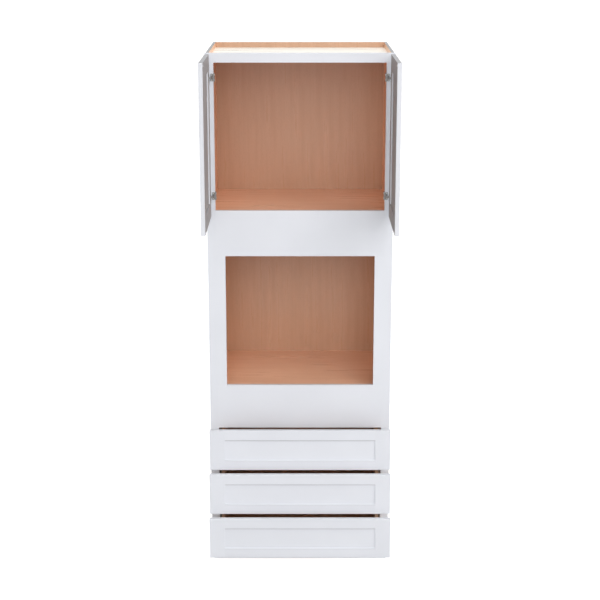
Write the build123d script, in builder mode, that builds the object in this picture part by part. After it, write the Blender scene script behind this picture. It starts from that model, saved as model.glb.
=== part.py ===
"""A tall face-frame cabinet for a built-in oven, with two doors above and three drawers below.

Millimetres. The origin is on the floor, against the wall, on the cabinet's centre line.
X runs to the right seen from the front, Y towards the wall (so the front lies at negative Y), Z up.
The doors stand open square to the front and the drawers are pulled out in steps.
"""

import os
from math import hypot

from build123d import *

# The cabinet as a whole
width = 838.2
height = 2438.4
depth = 609.6
toe_height = 114.3
toe_depth = 76.2

# Carcase
side_thickness = 12.7
side_setback = 4.0  # the face frame stands this far past each side
panel_thickness = 12.7
shelf_thickness = 19.05
dado_depth = 4.75
top_recess = 24.0
floor_drop = 6.35  # floors lie this far below the rail in front of them
toe_board_thickness = 12.7
block_leg = 45.0
block_height = 60.0
hang_rail_height = 101.6
hang_rail_thickness = 19.05
bearer_height = 63.5
bearer_thickness = 19.05

# Face frame
frame_thickness = 19.05
stile_width = 38.1
top_rail_height = 41.3
middle_rail_height = 209.6
oven_opening_height = 616.0
oven_strip_width = 41.3  # each strip that narrows the cut-out to the oven's width
lower_rail_height = 208.9
drawer_rail_height = 38.1
bottom_rail_height = 38.1
tenon_length = 12.7
tenon_thickness = 6.35
tenon_shoulder = 6.35

# Doors and drawer fronts
front_thickness = 19.05
front_gap = 2.5  # a closed door's or front's distance from the face frame
side_reveal = 1.5
shaker_stile = 70.0
door_rail = 70.0
drawer_front_rail = 48.0
front_panel_thickness = 6.35
groove_depth = 9.5
panel_float = 1.0
eased_edge = 0.8
rim_tolerance = 1e-4
small_round_sides = 8  # flats round a small screw hole or rivet head
door_gap = 3.0
door_top_reveal = 3.3
door_bottom_lap = 23.3
drawer_front_height = 194.0
drawer_front_gap = 3.5
drawer_bottom_lap = 13.5
drawer_top_lap = 26.8
drawer_pull = [94.0, 145.0, 195.0]  # how far each drawer is out, top one first

# Drawer boxes
box_height = 127.0
box_wall = 15.875
box_length = 508.0
box_rise = 14.3  # underside of the box over the edge of its opening
box_bottom_thickness = 6.35
box_bottom_height = 12.7
box_groove_depth = 6.35
tail_count = 3
tail_width = 24.0
tail_slope = 1 / 6

# Slides
slide_thickness = 12.7
slide_length = 508.0
slide_setback = 3.2
slide_sheet = 1.2
slide_web_gap = 1.0
slide_height_over_box = 50.0
cabinet_member_height = 45.8
middle_member_height = 38.6
drawer_member_height = 31.4
ball_strip_length = 200.0
ball_strip_width = 5.0
ball_clearance = 0.3
strip_end_margin = 20.0
slide_screw_hole = 4.5
slide_screw_margin = 37.0

# Hinges
hinge_inset = 97.0
hinge_drop = 6.0  # both hinges sit this much below even insets
cup_diameter = 35.0
cup_depth = 13.9
cup_wall = 1.0
cup_edge = 3.0
cup_fit = 0.05
cup_flange = 0.9
cup_flange_rim = 1.8
cup_wing_spacing = 45.0
cup_wing_width = 11.0
cup_screw_hole = 4.2
cheek_thickness = 1.2
cheek_start = 1.7  # from the cup's side nearest the door's edge
cheek_length = 16.5
cheek_recess = 1.0
open_standoff = 15.0  # frame to the door's hinge edge, open square
open_overhang = 0.2  # the open door's outer face past its closed edge
clip_plate = 4.5
clip_height = 37.0
clip_depth = 17.0
lip_thickness = 1.2
lip_reach = 13.0
lip_height = 33.0
ear_thickness = 1.5
ear_gap = 0.3
ear_radius = 2.5
ear_root = 7.5
pin_diameter = 3.0
pin_fit = 0.05
pin_inset = 5.0
pin_reach = 12.5
pin_head = 0.6
pin_head_radius = 2.2
knuckle_radius = 2.4
link_height = 10.6
link_thickness = 2.4
link_bow = 3.0
link_end_radius = 1.6
link_end_inset = 9.5
link_end_depth = 5.0

# Levels and faces that follow from the sizes above
front_y = -depth
case_front_y = front_y + frame_thickness
toe_y = front_y + toe_depth
hang_y = -hang_rail_thickness
back_y = hang_y - panel_thickness
side_outer_x = width / 2 - side_setback
side_inner_x = side_outer_x - side_thickness
stile_inner_x = width / 2 - stile_width
front_edge_x = width / 2 - side_reveal

drawers_z = toe_height + bottom_rail_height
front_pitch = drawer_front_height + drawer_front_gap
drawer_numbers = range(len(drawer_pull))
lowest_front_z = drawers_z - drawer_bottom_lap
front_z = [lowest_front_z + front_pitch * (len(drawer_pull) - 1 - n) for n in drawer_numbers]
drawer_rail_z = [z - drawer_front_gap / 2 for z in front_z[:-1]]
lower_rail_z = front_z[0] + drawer_front_height - drawer_top_lap
oven_z = lower_rail_z + lower_rail_height
oven_top_z = oven_z + oven_opening_height
compartment_z = oven_top_z + middle_rail_height
compartment_top_z = height - top_rail_height
opening_z = [z + drawer_rail_height / 2 for z in drawer_rail_z] + [drawers_z]

bottom_top_z = drawers_z - floor_drop
shelf_top_z = oven_z - floor_drop
floor_top_z = compartment_z - floor_drop
top_top_z = height - top_recess

box_half_width = stile_inner_x - slide_thickness
box_z = [z + box_rise for z in opening_z]
closed_box_y = front_y - front_gap
slide_y = front_y + slide_setback

# The door's swing axis, from where the door stands closed and open square
door_width = front_edge_x - door_gap / 2
door_z = compartment_z - door_bottom_lap
door_height = height - door_top_reveal - door_z
door_stack = front_thickness + front_gap
swing_x = front_edge_x + (open_standoff + open_overhang - door_stack) / 2
swing_y = front_y - (open_standoff - open_overhang + door_stack) / 2
open_inner_x = front_edge_x + open_overhang - front_thickness
hinge_z = [
    door_z + hinge_inset - hinge_drop,
    door_z + door_height - hinge_inset - hinge_drop,
]
cup_centre = cup_edge + cup_diameter / 2
clip_pin_x = stile_inner_x + pin_inset
clip_pin_y = front_y - pin_reach
link_end_x = open_inner_x + link_end_depth
link_end_y = front_y - open_standoff - link_end_inset


def board(x, y, z, mode=Mode.ADD):
    """A square-edged board in the open part, from the low and high value on each axis."""
    low = Vector(x[0], y[0], z[0])
    size = Vector(x[1], y[1], z[1]) - low
    with Locations(low + size / 2):
        Box(size.X, size.Y, size.Z, mode=mode)


def sided(side, near, far):
    """The low and high X of a span that runs from near to far of the centre line on one side."""
    return tuple(sorted((side * near, side * far)))


def both_sides(near, far):
    """That span on the left and on the right."""
    return [sided(side, near, far) for side in (-1, 1)]


def write(piece, name):
    """Label a finished piece and write it as its own STEP file."""
    piece.part.label = name
    export_step(piece.part, f"parts/{name}.step")


def side_name(side):
    return "right" if side > 0 else "left"


# The carcase


def floor_levels():
    """Underside and top of each board that the sides carry in a groove."""
    thin = [top_top_z, floor_top_z, bottom_top_z]
    return [(z - panel_thickness, z) for z in thin] + [(shelf_top_z - shelf_thickness, shelf_top_z)]


def side_panel(side):
    """A side with its toe notch, and grooves on its inner face for the floors and the back."""
    groove_x = sided(side, side_inner_x, side_inner_x + dado_depth)
    with BuildPart() as panel:
        with BuildSketch(Plane.YZ.offset(side * side_inner_x)):
            with BuildLine():
                Polyline(
                    (toe_y, 0),
                    (0, 0),
                    (0, height),
                    (case_front_y, height),
                    (case_front_y, toe_height),
                    (toe_y, toe_height),
                    close=True,
                )
            make_face()
        extrude(amount=side * side_thickness)
        for low, high in floor_levels():
            board(groove_x, (case_front_y, back_y), (low, high), mode=Mode.SUBTRACT)
        board(groove_x, (back_y, hang_y), (0, height), mode=Mode.SUBTRACT)
    write(panel, f"side_panel_{side_name(side)}")


def grooved_board(name, low, high):
    """A floor that runs from the face frame to the back panel and into both sides."""
    reach = side_inner_x + dado_depth
    with BuildPart() as panel:
        board((-reach, reach), (case_front_y, back_y), (low, high))
    write(panel, name)


def back_panel():
    reach = side_inner_x + dado_depth
    with BuildPart() as panel:
        board((-reach, reach), (back_y, hang_y), (0, height))
    write(panel, "back_panel")


def hang_rails():
    """Rails between the sides, behind the back panel, that take the screws into the wall."""
    middle_z = (oven_top_z + compartment_z - hang_rail_height) / 2
    lower_z = (lower_rail_z + oven_z - hang_rail_height) / 2
    with BuildPart() as rails:
        for z in (0, lower_z, middle_z, height - hang_rail_height):
            board((-side_inner_x, side_inner_x), (hang_y, 0), (z, z + hang_rail_height))
    write(rails, "hang_rails")


def toe_kick():
    with BuildPart() as kick:
        board(
            (-side_inner_x, side_inner_x),
            (toe_y, toe_y + toe_board_thickness),
            (0, bottom_top_z - panel_thickness),
        )
    write(kick, "toe_kick")


def base_blocks():
    """Three-cornered glue blocks under the bottom panel, in the corners of the base."""
    top = bottom_top_z - panel_thickness
    with BuildPart() as blocks:
        with BuildSketch(Plane.XY.offset(top - block_height)):
            for side in (-1, 1):
                for y, turn in ((toe_y + toe_board_thickness, 1), (back_y, -1)):
                    with BuildLine():
                        Polyline(
                            (side * side_inner_x, y),
                            (side * (side_inner_x - block_leg), y),
                            (side * side_inner_x, y + turn * block_leg),
                            close=True,
                        )
                    make_face()
        extrude(amount=block_height)
    write(blocks, "base_blocks")


def oven_bearers():
    """Two bearers on the sides and two between them, under the oven shelf."""
    top = shelf_top_z - shelf_thickness
    z = (top - bearer_height, top)
    inner_x = side_inner_x - bearer_thickness
    with BuildPart() as side_bearers:
        for x in both_sides(inner_x, side_inner_x):
            board(x, (case_front_y, back_y), z)
    write(side_bearers, "oven_side_bearers")
    with BuildPart() as cross_bearers:
        board((-inner_x, inner_x), (case_front_y, case_front_y + bearer_thickness), z)
        board((-inner_x, inner_x), (back_y - bearer_thickness, back_y), z)
    write(cross_bearers, "oven_cross_bearers")


def slide_cleats():
    """Cleats that bring each slide flush with the stile's inner edge."""
    with BuildPart() as cleats:
        for z in box_z:
            centre = z + slide_height_over_box
            for x in both_sides(stile_inner_x, side_inner_x):
                board(
                    x,
                    (case_front_y, back_y),
                    (centre - cabinet_member_height / 2, centre + cabinet_member_height / 2),
                )
    write(cleats, "slide_cleats")


# The face frame


def rail_levels():
    """Lower and upper edge of every rail that is tenoned into the stiles, by name."""
    levels = {
        "top_rail": [(compartment_top_z, height)],
        "middle_rail": [(oven_top_z, compartment_z)],
        "lower_rail": [(lower_rail_z, oven_z)],
        "bottom_rail": [(toe_height, drawers_z)],
    }
    half = drawer_rail_height / 2
    levels["drawer_rails"] = [(z - half, z + half) for z in drawer_rail_z]
    return levels


def tenon(side, low, high, mode=Mode.ADD):
    """A rail's stub tenon, and with Mode.SUBTRACT the mortise that it fills."""
    middle_y = front_y + frame_thickness / 2
    board(
        sided(side, stile_inner_x, stile_inner_x + tenon_length),
        (middle_y - tenon_thickness / 2, middle_y + tenon_thickness / 2),
        (low + tenon_shoulder, high - tenon_shoulder),
        mode=mode,
    )


def frame_stile(side):
    with BuildPart() as stile:
        board(
            sided(side, stile_inner_x, width / 2),
            (front_y, case_front_y),
            (toe_height, height),
        )
        for levels in rail_levels().values():
            for low, high in levels:
                tenon(side, low, high, mode=Mode.SUBTRACT)
    write(stile, f"frame_stile_{side_name(side)}")


def frame_rails():
    for name, levels in rail_levels().items():
        with BuildPart() as rail:
            for low, high in levels:
                board((-stile_inner_x, stile_inner_x), (front_y, case_front_y), (low, high))
                for side in (-1, 1):
                    tenon(side, low, high)
        write(rail, name)


def oven_strips():
    """Strips beside the stiles that narrow the cut-out to the oven's width."""
    with BuildPart() as strips:
        for x in both_sides(stile_inner_x - oven_strip_width, stile_inner_x):
            board(x, (front_y, case_front_y), (oven_z, oven_top_z))
    write(strips, "oven_strips")


# Frame-and-panel fronts


def all_at(values, target):
    """Whether every value is the target, but for rounding."""
    return all(abs(value - target) < rim_tolerance for value in values)


def on_rim(edge, plane, span_x, span_y):
    """Whether an edge lies on the outline of a front and in one of its two faces."""
    ends = [plane.to_local_coords(Vector(vertex.X, vertex.Y, vertex.Z)) for vertex in edge.vertices()]
    in_face = all_at([abs(end.Z) for end in ends], front_thickness / 2)
    on_x = any(all_at([end.X for end in ends], x) for x in (0, span_x))
    on_y = any(all_at([end.Y for end in ends], y) for y in (0, span_y))
    return in_face and (on_x or on_y)


def ease_rim(piece, plane, span_x, span_y):
    """Break the sharp edges around a front's outline."""
    rim = [edge for edge in piece.edges() if on_rim(edge, plane, span_x, span_y)]
    chamfer(rim, length=eased_edge)


def front_stiles(name, plane, span_x, span_y, lefts, bores=(), inner=1):
    """Stiles of a front, grooved for the panel, and bored from the inner face for hinge cups."""
    with BuildPart() as stiles:
        for left in lefts:
            with BuildSketch(plane):
                with Locations((left + shaker_stile / 2, span_y / 2)):
                    Rectangle(shaker_stile, span_y)
            extrude(amount=front_thickness / 2, both=True)
            groove_x = shaker_stile - groove_depth / 2 if left == 0 else left + groove_depth / 2
            with BuildSketch(plane):
                with Locations((groove_x, span_y / 2)):
                    Rectangle(groove_depth, span_y)
            extrude(amount=front_panel_thickness / 2, both=True, mode=Mode.SUBTRACT)
        ease_rim(stiles, plane, span_x, span_y)
        for level in bores:
            with BuildSketch(plane.offset(inner * front_thickness / 2)):
                with Locations((cup_centre, level)):
                    Circle(cup_diameter / 2 + cup_fit)
            extrude(amount=-inner * cup_depth, mode=Mode.SUBTRACT)
    write(stiles, name)


def front_rails(name, plane, span_x, span_y, rail_height):
    """Bottom and top rail of a front, with the tongues that fill the stiles' grooves."""
    body_width = span_x - 2 * shaker_stile
    tongue_width = body_width + 2 * groove_depth
    with BuildPart() as rails:
        for bottom, groove_y in (
            (0, rail_height - groove_depth / 2),
            (span_y - rail_height, span_y - rail_height + groove_depth / 2),
        ):
            middle = (span_x / 2, bottom + rail_height / 2)
            with BuildSketch(plane):
                with Locations(middle):
                    Rectangle(body_width, rail_height)
            extrude(amount=front_thickness / 2, both=True)
            with BuildSketch(plane):
                with Locations(middle):
                    Rectangle(tongue_width, rail_height)
            extrude(amount=front_panel_thickness / 2, both=True)
            with BuildSketch(plane):
                with Locations((span_x / 2, groove_y)):
                    Rectangle(tongue_width, groove_depth)
            extrude(amount=front_panel_thickness / 2, both=True, mode=Mode.SUBTRACT)
        ease_rim(rails, plane, span_x, span_y)
    write(rails, name)


def front_panel(name, plane, span_x, span_y, rail_height):
    """The flat panel, a little short of the bottoms of its grooves."""
    reach = groove_depth - panel_float
    with BuildPart() as panel:
        with BuildSketch(plane):
            with Locations((span_x / 2, span_y / 2)):
                Rectangle(
                    span_x - 2 * (shaker_stile - reach),
                    span_y - 2 * (rail_height - reach),
                )
        extrude(amount=front_panel_thickness / 2, both=True)
    write(panel, name)


# The doors and their hinges


def door(side):
    """One door, standing open square to the face frame."""
    name = f"door_{side_name(side)}"
    middle_x = side * (open_inner_x + front_thickness / 2)
    plane = Plane(
        origin=(middle_x, front_y - open_standoff, door_z),
        x_dir=(0, -1, 0),
        z_dir=(-1, 0, 0),
    )
    levels = [z - door_z for z in hinge_z]
    meeting = door_width - shaker_stile
    front_stiles(f"{name}_hinge_stile", plane, door_width, door_height, [0], levels, side)
    front_stiles(f"{name}_meeting_stile", plane, door_width, door_height, [meeting])
    front_rails(f"{name}_rails", plane, door_width, door_height, door_rail)
    front_panel(f"{name}_panel", plane, door_width, door_height, door_rail)
    hinge_cups(f"{name}_hinge_cups", plane, levels, side)
    hinge_links(f"hinge_links_{side_name(side)}", side)


def hinge_cups(name, plane, levels, inner):
    """Steel cups let into the hinge stile, with a flange, wings for screws and cheeks inside."""
    face = plane.offset(inner * front_thickness / 2)
    cheek_top = plane.offset(inner * (front_thickness / 2 - cheek_recess))
    cheek_x = cup_edge + cheek_start + cheek_length / 2
    cheek_y = link_height / 2 + ear_gap + cheek_thickness / 2
    flange_top = plane.offset(inner * (front_thickness / 2 + cup_flange))
    with BuildPart() as cups:
        for level in levels:
            centre = (cup_centre, level)
            with BuildSketch(face):
                with Locations(centre):
                    Circle(cup_diameter / 2 + cup_flange_rim)
                    SlotCenterToCenter(cup_wing_spacing, cup_wing_width, rotation=90)
                    with Locations((0, -cup_wing_spacing / 2), (0, cup_wing_spacing / 2)):
                        RegularPolygon(
                            cup_screw_hole / 2, small_round_sides, mode=Mode.SUBTRACT
                        )
            extrude(amount=inner * cup_flange)
            with BuildSketch(face):
                with Locations(centre):
                    Circle(cup_diameter / 2)
            extrude(amount=-inner * cup_depth)
            with BuildSketch(flange_top):
                with Locations(centre):
                    Circle(cup_diameter / 2 - cup_wall)
            extrude(amount=-inner * (cup_flange + cup_depth - cup_wall), mode=Mode.SUBTRACT)
            with BuildSketch(cheek_top):
                with Locations((cheek_x, level - cheek_y), (cheek_x, level + cheek_y)):
                    Rectangle(cheek_length, cheek_thickness)
            extrude(amount=-inner * (cup_depth - cheek_recess))
    write(cups, name)


def hinge_links(name, side):
    """The bowed links from the clips' pins into the cups of one door, as they lie with it open."""
    start = Vector(side * clip_pin_x, clip_pin_y)
    end = Vector(side * link_end_x, link_end_y)
    along = end - start
    outward = Vector(side * along.Y, -side * along.X) / hypot(along.X, along.Y)
    crown = (start + end) / 2 + outward * link_bow
    half = outward * link_thickness / 2
    with BuildPart() as links:
        for z in hinge_z:
            with BuildSketch(Plane.XY.offset(z)):
                with BuildLine():
                    ThreePointArc(start + half, crown + half, end + half)
                    Line(end + half, end - half)
                    ThreePointArc(end - half, crown - half, start - half)
                    Line(start - half, start + half)
                make_face()
                with Locations(start):
                    Circle(knuckle_radius)
                with Locations(end):
                    Circle(link_end_radius)
                with Locations(start):
                    Circle(pin_diameter / 2 + pin_fit, mode=Mode.SUBTRACT)
            extrude(amount=link_height / 2, both=True)
    write(links, name)


def hinge_clips():
    """Clips on the stiles' inner edges, each with a lip over the frame and two ears for the pin."""
    near_x = stile_inner_x - clip_plate
    lip_y = (front_y - lip_thickness, front_y)
    ear_z = link_height / 2 + ear_gap
    root_y = front_y - lip_thickness
    with BuildPart() as clips:
        for side in (-1, 1):
            pin = (side * clip_pin_x, clip_pin_y)
            for z in hinge_z:
                plate_z = (z - clip_height / 2, z + clip_height / 2)
                lip_z = (z - lip_height / 2, z + lip_height / 2)
                board(sided(side, near_x, stile_inner_x), (lip_y[0], front_y + clip_depth), plate_z)
                board(sided(side, near_x, stile_inner_x + lip_reach), lip_y, lip_z)
                for turn in (-1, 1):
                    with BuildSketch(Plane.XY.offset(z + turn * ear_z)):
                        with BuildLine():
                            Polyline(
                                (side * (clip_pin_x - ear_radius), root_y),
                                (side * (clip_pin_x - ear_radius + ear_root), root_y),
                                (side * (clip_pin_x + ear_radius), clip_pin_y),
                                (side * (clip_pin_x - ear_radius), clip_pin_y),
                                close=True,
                            )
                        make_face()
                        with Locations(pin):
                            Circle(ear_radius)
                            Circle(pin_diameter / 2, mode=Mode.SUBTRACT)
                    extrude(amount=turn * ear_thickness)
    write(clips, "hinge_clips")


def hinge_pins():
    """Pins through the clips' ears, headed at both ends."""
    reach = link_height / 2 + ear_gap + ear_thickness
    with BuildPart() as pins:
        for side in (-1, 1):
            for z in hinge_z:
                with BuildSketch(Plane.XY.offset(z)):
                    with Locations((side * clip_pin_x, clip_pin_y)):
                        Circle(pin_diameter / 2)
                extrude(amount=reach, both=True)
                for turn in (-1, 1):
                    with BuildSketch(Plane.XY.offset(z + turn * reach)):
                        with Locations((side * clip_pin_x, clip_pin_y)):
                            RegularPolygon(pin_head_radius, small_round_sides)
                    extrude(amount=turn * pin_head)
    write(pins, "hinge_pins")


# The drawers and their slides


def tail_outlines(z, face_y, turn):
    """Corners of the tails at one end of a box side, widest at the outer face of the box's end."""
    pitch = box_height / tail_count
    narrowing = box_wall * tail_slope
    inner_y = face_y + turn * box_wall
    outlines = []
    for n in range(tail_count):
        centre = z + pitch * (n + 1 / 2)
        wide = tail_width / 2
        narrow = wide - narrowing
        outlines.append(
            [
                (face_y, centre - wide),
                (face_y, centre + wide),
                (inner_y, centre + narrow),
                (inner_y, centre - narrow),
            ]
        )
    return outlines


def drawer_box(name, z, front):
    """Two sides dovetailed into two ends, with the bottom in a groove all round."""
    rear = front + box_length
    inner_x = box_half_width - box_wall
    levels = (z, z + box_height)
    tails = tail_outlines(z, front, 1) + tail_outlines(z, rear, -1)
    bottom = (
        (-inner_x - box_groove_depth, inner_x + box_groove_depth),
        (front + box_wall - box_groove_depth, rear - box_wall + box_groove_depth),
        (z + box_bottom_height, z + box_bottom_height + box_bottom_thickness),
    )
    with BuildPart() as sides:
        for low, high in both_sides(inner_x, box_half_width):
            board((low, high), (front + box_wall, rear - box_wall), levels)
            with BuildSketch(Plane.YZ.offset(low)):
                for corners in tails:
                    with BuildLine():
                        Polyline(*corners, close=True)
                    make_face()
            extrude(amount=box_wall)
        board(*bottom, mode=Mode.SUBTRACT)
    write(sides, f"{name}_box_sides")
    with BuildPart() as ends:
        board((-box_half_width, box_half_width), (front, front + box_wall), levels)
        board((-box_half_width, box_half_width), (rear - box_wall, rear), levels)
        for low, high in both_sides(inner_x, box_half_width):
            with BuildSketch(Plane.YZ.offset(low)):
                for corners in tails:
                    with BuildLine():
                        Polyline(*corners, close=True)
                    make_face()
            extrude(amount=box_wall, mode=Mode.SUBTRACT)
        board(*bottom, mode=Mode.SUBTRACT)
    write(ends, f"{name}_box_ends")
    with BuildPart() as base:
        board(*bottom)
    write(base, f"{name}_box_bottom")


def channel(side, web_x, lip_x, front, centre, tall):
    """A sheet channel lying along Y, its web at web_x and the edges of its flanges at lip_x."""
    turn = 1 if lip_x > web_x else -1
    y = (front, front + slide_length)
    low = centre - tall / 2
    high = centre + tall / 2
    board(sided(side, web_x, web_x + turn * slide_sheet), y, (low, high))
    board(sided(side, web_x, lip_x), y, (low, low + slide_sheet))
    board(sided(side, web_x, lip_x), y, (high - slide_sheet, high))


def screw_rows(front):
    """Y of the screw holes in a slide's web."""
    return (front + slide_screw_margin, front + slide_length / 2, front + slide_length - slide_screw_margin)


def outer_members(name, web_x, lip_x, tall, places):
    """Pairs of channels with round screw holes in their webs, one pair for each front and level."""
    with BuildPart() as members:
        for front, centre in places:
            for side in (-1, 1):
                channel(side, web_x, lip_x, front, centre, tall)
                with BuildSketch(Plane.YZ.offset(side * web_x)):
                    with Locations(*[(y, centre) for y in screw_rows(front)]):
                        RegularPolygon(slide_screw_hole / 2, small_round_sides)
                extrude(amount=slide_sheet, both=True, mode=Mode.SUBTRACT)
    write(members, name)


def cabinet_members():
    """The fixed channels, which open towards the drawers."""
    lip_x = box_half_width + slide_sheet + slide_web_gap
    places = [(slide_y, z + slide_height_over_box) for z in box_z]
    outer_members("slide_cabinet_members", stile_inner_x, lip_x, cabinet_member_height, places)


def drawer_members(number, z, pull):
    """The channels on a drawer's sides, which open towards the cabinet."""
    lip_x = stile_inner_x - 2 * (slide_sheet + slide_web_gap)
    place = (slide_y - pull, z + slide_height_over_box)
    name = f"drawer_{number}_slide_members"
    outer_members(name, box_half_width, lip_x, drawer_member_height, [place])


def middle_members(number, z, pull):
    """The channels between, with their ball strips: outer pair at the rear, inner pair in front."""
    web_x = stile_inner_x - slide_sheet - slide_web_gap
    lip_x = box_half_width + slide_sheet + slide_web_gap
    strip_x = (lip_x + slide_web_gap, lip_x + slide_web_gap + ball_strip_width)
    front = slide_y - pull / 2
    rear = front + slide_length
    centre = z + slide_height_over_box
    outer = (middle_member_height / 2, cabinet_member_height / 2 - slide_sheet - ball_clearance)
    inner = (drawer_member_height / 2 + ball_clearance, middle_member_height / 2 - slide_sheet)
    rear_y = (rear - strip_end_margin - ball_strip_length, rear - strip_end_margin)
    front_run = (front + strip_end_margin, front + strip_end_margin + ball_strip_length)
    with BuildPart() as members:
        for side in (-1, 1):
            channel(side, web_x, lip_x, front, centre, middle_member_height)
            for (low, high), run in ((outer, rear_y), (inner, front_run)):
                board(sided(side, *strip_x), run, (centre + low, centre + high))
                board(sided(side, *strip_x), run, (centre - high, centre - low))
    write(members, f"slide_{number}")


def drawer(index):
    """One drawer, pulled out by its own distance, with its share of the slides."""
    number = index + 1
    name = f"drawer_{number}"
    pull = drawer_pull[index]
    span_x = 2 * front_edge_x
    plane = Plane(
        origin=(-front_edge_x, closed_box_y - front_thickness / 2 - pull, front_z[index]),
        x_dir=(1, 0, 0),
        z_dir=(0, -1, 0),
    )
    lefts = [0, span_x - shaker_stile]
    front_stiles(f"{name}_front_stiles", plane, span_x, drawer_front_height, lefts)
    front_rails(f"{name}_front_rails", plane, span_x, drawer_front_height, drawer_front_rail)
    front_panel(f"{name}_front_panel", plane, span_x, drawer_front_height, drawer_front_rail)
    drawer_box(name, box_z[index], closed_box_y - pull)
    drawer_members(number, box_z[index], pull)
    middle_members(number, box_z[index], pull)


def cabinet():
    """Everything that stands still."""
    for side in (-1, 1):
        side_panel(side)
        frame_stile(side)
    for name, top in (
        ("top_panel", top_top_z),
        ("compartment_floor", floor_top_z),
        ("bottom_panel", bottom_top_z),
    ):
        grooved_board(name, top - panel_thickness, top)
    grooved_board("oven_shelf", shelf_top_z - shelf_thickness, shelf_top_z)
    back_panel()
    hang_rails()
    toe_kick()
    base_blocks()
    oven_bearers()
    slide_cleats()
    frame_rails()
    oven_strips()
    hinge_clips()
    hinge_pins()
    cabinet_members()


if __name__ == "__main__":
    os.makedirs("parts", exist_ok=True)
    cabinet()
    for side in (-1, 1):
        door(side)
    for index in drawer_numbers:
        drawer(index)
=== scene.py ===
"""Looks of a white shaker oven cabinet over its fixed frame, and the studio that it stands in."""

from math import pi, radians
from typing import NamedTuple

import bpy
import numpy as np
from bpy.props import FloatProperty, FloatVectorProperty, IntProperty, PointerProperty
from mathutils import Matrix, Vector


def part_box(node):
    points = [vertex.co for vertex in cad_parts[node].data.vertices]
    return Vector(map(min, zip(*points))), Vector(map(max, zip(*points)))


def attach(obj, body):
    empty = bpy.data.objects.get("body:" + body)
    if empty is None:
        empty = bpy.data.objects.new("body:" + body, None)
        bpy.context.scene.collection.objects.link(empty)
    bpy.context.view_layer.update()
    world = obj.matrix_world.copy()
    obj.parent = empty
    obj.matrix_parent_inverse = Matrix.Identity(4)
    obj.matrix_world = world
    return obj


bl_info = {
    "name": "Oven Cabinet",
    "version": (1, 0, 0),
    "blender": (4, 5, 0),
    "location": "View3D > Sidebar > Cabinet",
    "description": "Finishes, screws and bumpers of a tall oven cabinet, and its studio",
    "category": "Object",
}

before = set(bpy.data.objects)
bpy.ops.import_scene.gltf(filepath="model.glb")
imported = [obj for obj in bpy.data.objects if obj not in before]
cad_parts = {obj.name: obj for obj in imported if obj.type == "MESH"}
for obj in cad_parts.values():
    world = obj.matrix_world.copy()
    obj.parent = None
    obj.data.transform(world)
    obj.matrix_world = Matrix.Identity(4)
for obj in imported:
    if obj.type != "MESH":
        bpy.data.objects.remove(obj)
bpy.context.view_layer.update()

MM = 0.001
SIDES = ((-1, "left"), (1, "right"))
DRAWERS = (1, 2, 3)
ALONG_X, ALONG_Y, ALONG_Z = "X", "Y", "Z"
TURN_TO_Z = {ALONG_X: (0, radians(90), 0), ALONG_Y: (radians(90), 0, 0), ALONG_Z: (0, 0, 0)}

# Faces of the cabinet that the finishes and the small hardware go by
FRONT_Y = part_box("top_rail")[0].y
TOP_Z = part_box("top_rail")[1].z
SIDE_FACE_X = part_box("side_panel_right")[1].x
STILE_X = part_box("frame_stile_right")[0].x

# Sizes of the cabinet's parts under the small hardware
PANEL_TONGUE = 9.5 * MM
BOX_GROOVE = 6.35 * MM
SLIDE_SHEET = 1.2 * MM
CLIP_PLATE = 4.5 * MM
CLIP_LIP = 1.2 * MM
HALF_PIN = 8 * MM

# Places of the small hardware
CUP_SCREW_RISE = 22.5 * MM
CLIP_SCREW_RISE = 11 * MM
ADJUSTER_INSET = 8.5 * MM
FRONT_SCREW_X = 240 * MM
FRONT_SCREW_RISES = (42 * MM, 102 * MM)
SLIDE_SCREW_MARGIN = 37 * MM
BUMPER_INSET = 11 * MM
HALF_STILE = 19 * MM

# Share of a normal along an axis over which its face looks that way, the same for a box's end
# grain, and how near to a face a point counts as on it
FACING = 0.7
END_FACING = 0.8
ON_FACE = 0.2 * MM


class Lamp(NamedTuple):
    """A square lamp, turned to the right and up from the lit point by degrees."""

    azimuth: float
    elevation: float
    distance: float
    size: float


LIT_POINT = (0.0, FRONT_Y, 1.4)
LAMPS = {
    "right": Lamp(48, 31, 19.0, 13.3),
    "low_right": Lamp(28, 10, 19.0, 13.3),
    "front": Lamp(2, 25, 19.0, 8.1),
    "wide": Lamp(0, 2, 19.0, 16.3),
    "left": Lamp(-30, 15, 19.0, 10.9),
    "high": Lamp(20, 50, 19.0, 10.9),
    "high_right": Lamp(48, 52, 19.0, 13.3),
    "high_left": Lamp(-25, 48, 19.0, 10.9),
    "top": Lamp(180, 69, 2.95, 1.4),
}
FLOOR_HALF = 25.0
SENSOR_WIDTH = 36.0
FAR_CLIP = 100.0


# Values that a user would change


def colour_property(name, description, default):
    return FloatVectorProperty(
        name=name, description=description, default=default, size=3, min=0, max=1, subtype="COLOR"
    )


def length_property(name, description, default):
    return FloatProperty(
        name=name,
        description=description,
        default=default,
        min=0,
        unit="LENGTH",
        subtype="DISTANCE",
    )


def share_property(name, description, default):
    return FloatProperty(
        name=name, description=description, default=default, min=0, max=1, subtype="FACTOR"
    )


def strength_property(name, description, default):
    return FloatProperty(name=name, description=description, default=default, min=0)


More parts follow.
